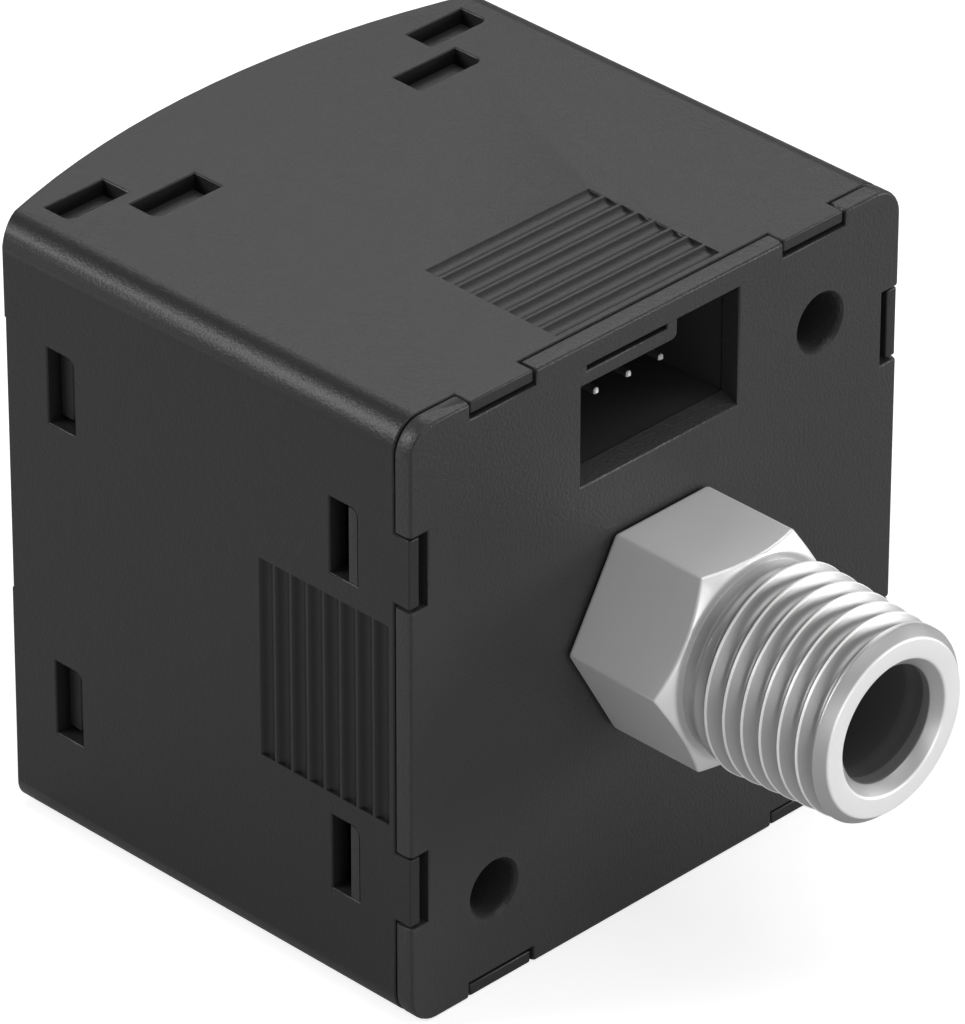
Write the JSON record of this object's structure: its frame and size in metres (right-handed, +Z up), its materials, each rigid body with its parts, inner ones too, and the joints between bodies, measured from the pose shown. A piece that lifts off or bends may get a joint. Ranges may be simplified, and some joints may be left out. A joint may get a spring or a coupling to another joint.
{
  "type": "pressure sensor",
  "caption": "Compact square pressure sensor with a curved display front and keys, a threaded metal port with a hexagon and a plug socket at the rear.",
  "frame": {"origin": "middle of the flat underside, midway between the rear face and the front corners, under the port's middle plane", "axes": "+Z up; +Y to the rear, along the port out of the body; -Y to the display side; +X to the left of someone who looks at the rear"},
  "size_m": [0.03, 0.042, 0.03],
  "materials": {
    "housing": "dark grey moulded plastic with a fine spark-eroded grain",
    "rear_cover": "dark grey moulded plastic with a coarser grain",
    "port_fitting": "turned metal, fine and bright",
    "port_seal": "black rubber",
    "port_clip": "spring steel",
    "sensor_capsule": "white ceramic, dull",
    "sensor_board": "green printed circuit board",
    "amplifier_chip": "black moulded chip package",
    "connector_header": "black moulded plastic",
    "contact_pin_1": "tin-plated pin, bright",
    "contact_pin_2": "tin-plated pin, bright",
    "contact_pin_3": "tin-plated pin, bright",
    "contact_pin_4": "tin-plated pin, bright",
    "main_board": "green printed circuit board",
    "link_spacer": "black moulded plastic",
    "link_pin_1": "gold-plated pin",
    "link_pin_2": "gold-plated pin",
    "link_pin_3": "gold-plated pin",
    "link_pin_4": "gold-plated pin",
    "processor_chip": "black moulded chip package",
    "display_window": "smoked clear plastic, polished",
    "light_guide": "clear moulded plastic",
    "display_module": "dark liquid-crystal display, smooth",
    "front_frame": "dark grey moulded plastic",
    "key_left": "soft grey moulded plastic",
    "key_centre": "soft grey moulded plastic",
    "key_right": "soft grey moulded plastic",
    "switch_left": "pressed metal case",
    "switch_centre": "pressed metal case",
    "switch_right": "pressed metal case",
    "switch_plunger_left": "black plastic plunger",
    "switch_plunger_centre": "black plastic plunger",
    "switch_plunger_right": "black plastic plunger"
  },
  "bodies": {
    "sensor": {"housing": "housing", "rear_cover": "rear_cover", "port_fitting": "port_fitting", "port_seal": "port_seal", "port_clip": "port_clip", "sensor_capsule": "sensor_capsule", "sensor_board": "sensor_board", "amplifier_chip": "amplifier_chip", "connector_header": "connector_header", "contact_pin_1": "contact_pin_1", "contact_pin_2": "contact_pin_2", "contact_pin_3": "contact_pin_3", "contact_pin_4": "contact_pin_4", "main_board": "main_board", "link_spacer": "link_spacer", "link_pin_1": "link_pin_1", "link_pin_2": "link_pin_2", "link_pin_3": "link_pin_3", "link_pin_4": "link_pin_4", "processor_chip": "processor_chip", "display_window": "display_window", "light_guide": "light_guide", "display_module": "display_module", "front_frame": "front_frame", "switch_left": "switch_left", "switch_centre": "switch_centre", "switch_right": "switch_right"},
    "key_left": {"key_left": "key_left", "switch_plunger_left": "switch_plunger_left"},
    "key_centre": {"key_centre": "key_centre", "switch_plunger_centre": "switch_plunger_centre"},
    "key_right": {"key_right": "key_right", "switch_plunger_right": "switch_plunger_right"}
  },
  "joints": [
    {"name": "key_left_press", "type": "slide", "parent": "sensor", "child": "key_left", "axis": [0, 1, 0], "range_m": [0, 0.0003], "stiffness_N_per_m": 6400},
    {"name": "key_centre_press", "type": "slide", "parent": "sensor", "child": "key_centre", "axis": [0, 1, 0], "range_m": [0, 0.0003], "stiffness_N_per_m": 6400},
    {"name": "key_right_press", "type": "slide", "parent": "sensor", "child": "key_right", "axis": [0, 1, 0], "range_m": [0, 0.0003], "stiffness_N_per_m": 6400}
  ]
}
